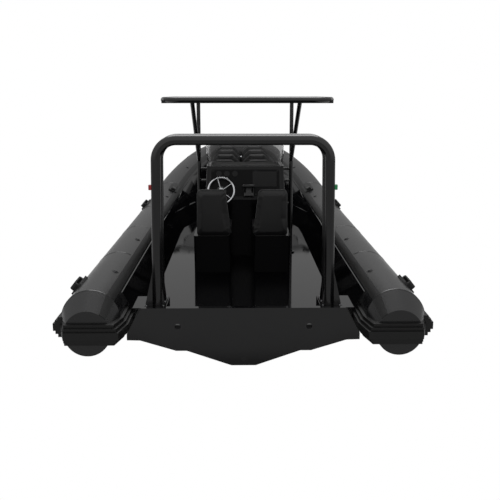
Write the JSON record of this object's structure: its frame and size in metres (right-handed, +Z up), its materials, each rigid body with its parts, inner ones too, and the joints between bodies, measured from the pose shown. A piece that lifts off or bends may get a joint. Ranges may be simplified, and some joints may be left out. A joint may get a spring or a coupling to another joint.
{
  "type": "rigid inflatable boat with centre console and passenger pods",
  "caption": "Rigid inflatable boat: deep-V hull in an inflated collar, aft double hoop, centre console under a T-top, and rows of passenger pods.",
  "frame": {"origin": "middle of the bounding box in plan, at the flat of the keel", "axes": "+Y to the bow, +X to starboard, +Z up"},
  "size_m": [3.236, 9.1816, 2.3502],
  "materials": {
    "gelcoat": "gloss black gelcoat",
    "collar_fabric": "satin dark grey coated fabric",
    "strake_rubber": "satin black ribbed rubber",
    "powder_coat": "satin black powder coat",
    "stainless": "polished stainless",
    "seat_vinyl": "satin black vinyl",
    "canopy_cloth": "matte black woven canvas",
    "screen": "smoked clear acrylic",
    "dash": "fine-textured black panel",
    "controls": "black control housing",
    "red_lens": "red lens",
    "green_lens": "green lens"
  },
  "bodies": {
    "boat": {"bow_post": "stainless", "canopy_aft_leg_port": "powder_coat", "canopy_aft_leg_starboard": "powder_coat", "canopy_bars": "powder_coat", "canopy_front_leg_port": "powder_coat", "canopy_front_leg_starboard": "powder_coat", "canopy_rim": "powder_coat", "canopy_skin": "canopy_cloth", "collar_bow_port": "collar_fabric", "collar_bow_starboard": "collar_fabric", "collar_cone_port": "collar_fabric", "collar_cone_starboard": "collar_fabric", "collar_side_port": "collar_fabric", "collar_side_starboard": "collar_fabric", "console": "gelcoat", "dash_panel": "dash", "grab_handles_port": "strake_rubber", "grab_handles_starboard": "strake_rubber", "helm_seat_backs": "seat_vinyl", "helm_seat_bases": "gelcoat", "helm_seat_cushions": "seat_vinyl", "hoop_aft": "powder_coat", "hoop_feet": "powder_coat", "hoop_fore": "powder_coat", "hoop_ties": "powder_coat", "hull": "gelcoat", "leg_brackets": "stainless", "locker_hinges": "stainless", "navigation_light_port": "red_lens", "navigation_light_starboard": "green_lens", "pod_backs_port": "seat_vinyl", "pod_backs_starboard": "seat_vinyl", "pod_bases_row_1": "gelcoat", "pod_bases_row_2": "gelcoat", "pod_bases_row_3": "gelcoat", "pod_bases_row_4": "gelcoat", "pod_cushions_port": "seat_vinyl", "pod_cushions_starboard": "seat_vinyl", "rubbing_strake_port": "strake_rubber", "rubbing_strake_starboard": "strake_rubber", "steering_hub": "controls", "throttle": "controls", "transom": "gelcoat", "transom_fittings": "controls", "wear_strip_port": "strake_rubber", "wear_strip_starboard": "strake_rubber", "windscreen": "screen"},
    "steering_wheel": {"steering_wheel": "stainless"},
    "console_door": {"console_door": "gelcoat"},
    "locker_lid": {"locker_lid": "gelcoat"}
  },
  "joints": [
    {"name": "steering", "type": "hinge", "parent": "boat", "child": "steering_wheel", "pos_m": [-0.255, -1.26543, 1.21251], "axis": [0, -0.9767, 0.2144], "range_deg": [-900, 900]},
    {"name": "console_door_hinge", "type": "hinge", "parent": "boat", "child": "console_door", "pos_m": [0.56594, -0.5423, 0.76039], "axis": [-0.0301, 0, 0.9995], "range_deg": [0, 105]},
    {"name": "locker_lid_hinge", "type": "hinge", "parent": "boat", "child": "locker_lid", "pos_m": [0, 3.6482, 1.126], "axis": [-1, 0, 0], "range_deg": [0, 100]}
  ]
}
